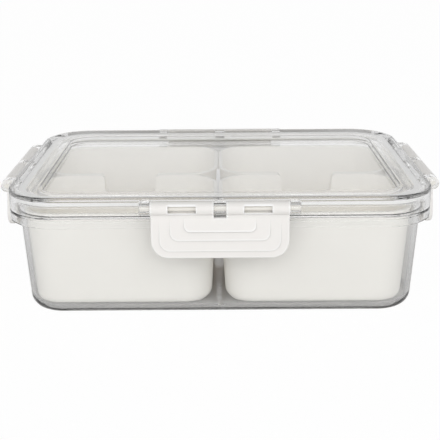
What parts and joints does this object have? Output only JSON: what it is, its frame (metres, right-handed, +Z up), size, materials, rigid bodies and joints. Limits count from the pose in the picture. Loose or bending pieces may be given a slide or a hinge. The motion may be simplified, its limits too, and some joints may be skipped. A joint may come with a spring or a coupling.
{
  "type": "divided snack box",
  "caption": "Clear rectangular snack box with a lift-off lid, silicone seal, snap latches on every side and removable white bins in a grid.",
  "frame": {"origin": "on the floor under the middle of the whole object, latches included", "axes": "+X along the long side, +Y from the front to the back, +Z up"},
  "size_m": [0.2556, 0.1836, 0.0723],
  "materials": {
    "clear_plastic": "clear polished rigid plastic",
    "silicone": "translucent satin silicone",
    "white_latch": "warm white moulded plastic, satin gloss",
    "pin_plastic": "natural plastic rod",
    "white_bin": "off-white moulded plastic, fine satin"
  },
  "bodies": {
    "tub": {"tub": "clear_plastic"},
    "lid": {"lid": "clear_plastic", "lid_seal": "silicone", "hinge_pin_front": "pin_plastic", "hinge_pin_back": "pin_plastic", "hinge_pin_left": "pin_plastic", "hinge_pin_right": "pin_plastic"},
    "latch_front": {"latch_front": "white_latch"},
    "latch_back": {"latch_back": "white_latch"},
    "latch_left": {"latch_left": "white_latch"},
    "latch_right": {"latch_right": "white_latch"},
    "bin_front_left": {"bin_front_left": "white_bin"},
    "bin_front_right": {"bin_front_right": "white_bin"},
    "bin_back_left": {"bin_back_left": "white_bin"},
    "bin_back_right": {"bin_back_right": "white_bin"}
  },
  "joints": [
    {"name": "lid_lift", "type": "slide", "parent": "tub", "child": "lid", "axis": [0, 0, 1], "range_m": [0, 0.13]},
    {"name": "latch_front_swing", "type": "hinge", "parent": "lid", "child": "latch_front", "pos_m": [0, -0.08795, 0.0677], "axis": [-1, 0, 0], "range_deg": [0, 200]},
    {"name": "latch_back_swing", "type": "hinge", "parent": "lid", "child": "latch_back", "pos_m": [0, 0.08795, 0.0677], "axis": [1, 0, 0], "range_deg": [0, 200]},
    {"name": "latch_left_swing", "type": "hinge", "parent": "lid", "child": "latch_left", "pos_m": [-0.12395, 0, 0.0677], "axis": [0, 1, 0], "range_deg": [0, 200]},
    {"name": "latch_right_swing", "type": "hinge", "parent": "lid", "child": "latch_right", "pos_m": [0.12395, 0, 0.0677], "axis": [0, -1, 0], "range_deg": [0, 200]},
    {"name": "bin_front_left_lift", "type": "slide", "parent": "tub", "child": "bin_front_left", "axis": [0, 0, 1], "range_m": [0, 0.065]},
    {"name": "bin_front_right_lift", "type": "slide", "parent": "tub", "child": "bin_front_right", "axis": [0, 0, 1], "range_m": [0, 0.065]},
    {"name": "bin_back_left_lift", "type": "slide", "parent": "tub", "child": "bin_back_left", "axis": [0, 0, 1], "range_m": [0, 0.065]},
    {"name": "bin_back_right_lift", "type": "slide", "parent": "tub", "child": "bin_back_right", "axis": [0, 0, 1], "range_m": [0, 0.065]}
  ],
  "couplings": [
    {"joint": "bin_front_left_lift", "follows": "lid_lift", "ratio": 0.5},
    {"joint": "bin_front_right_lift", "follows": "lid_lift", "ratio": 0.5},
    {"joint": "bin_back_left_lift", "follows": "lid_lift", "ratio": 0.5},
    {"joint": "bin_back_right_lift", "follows": "lid_lift", "ratio": 0.5}
  ]
}
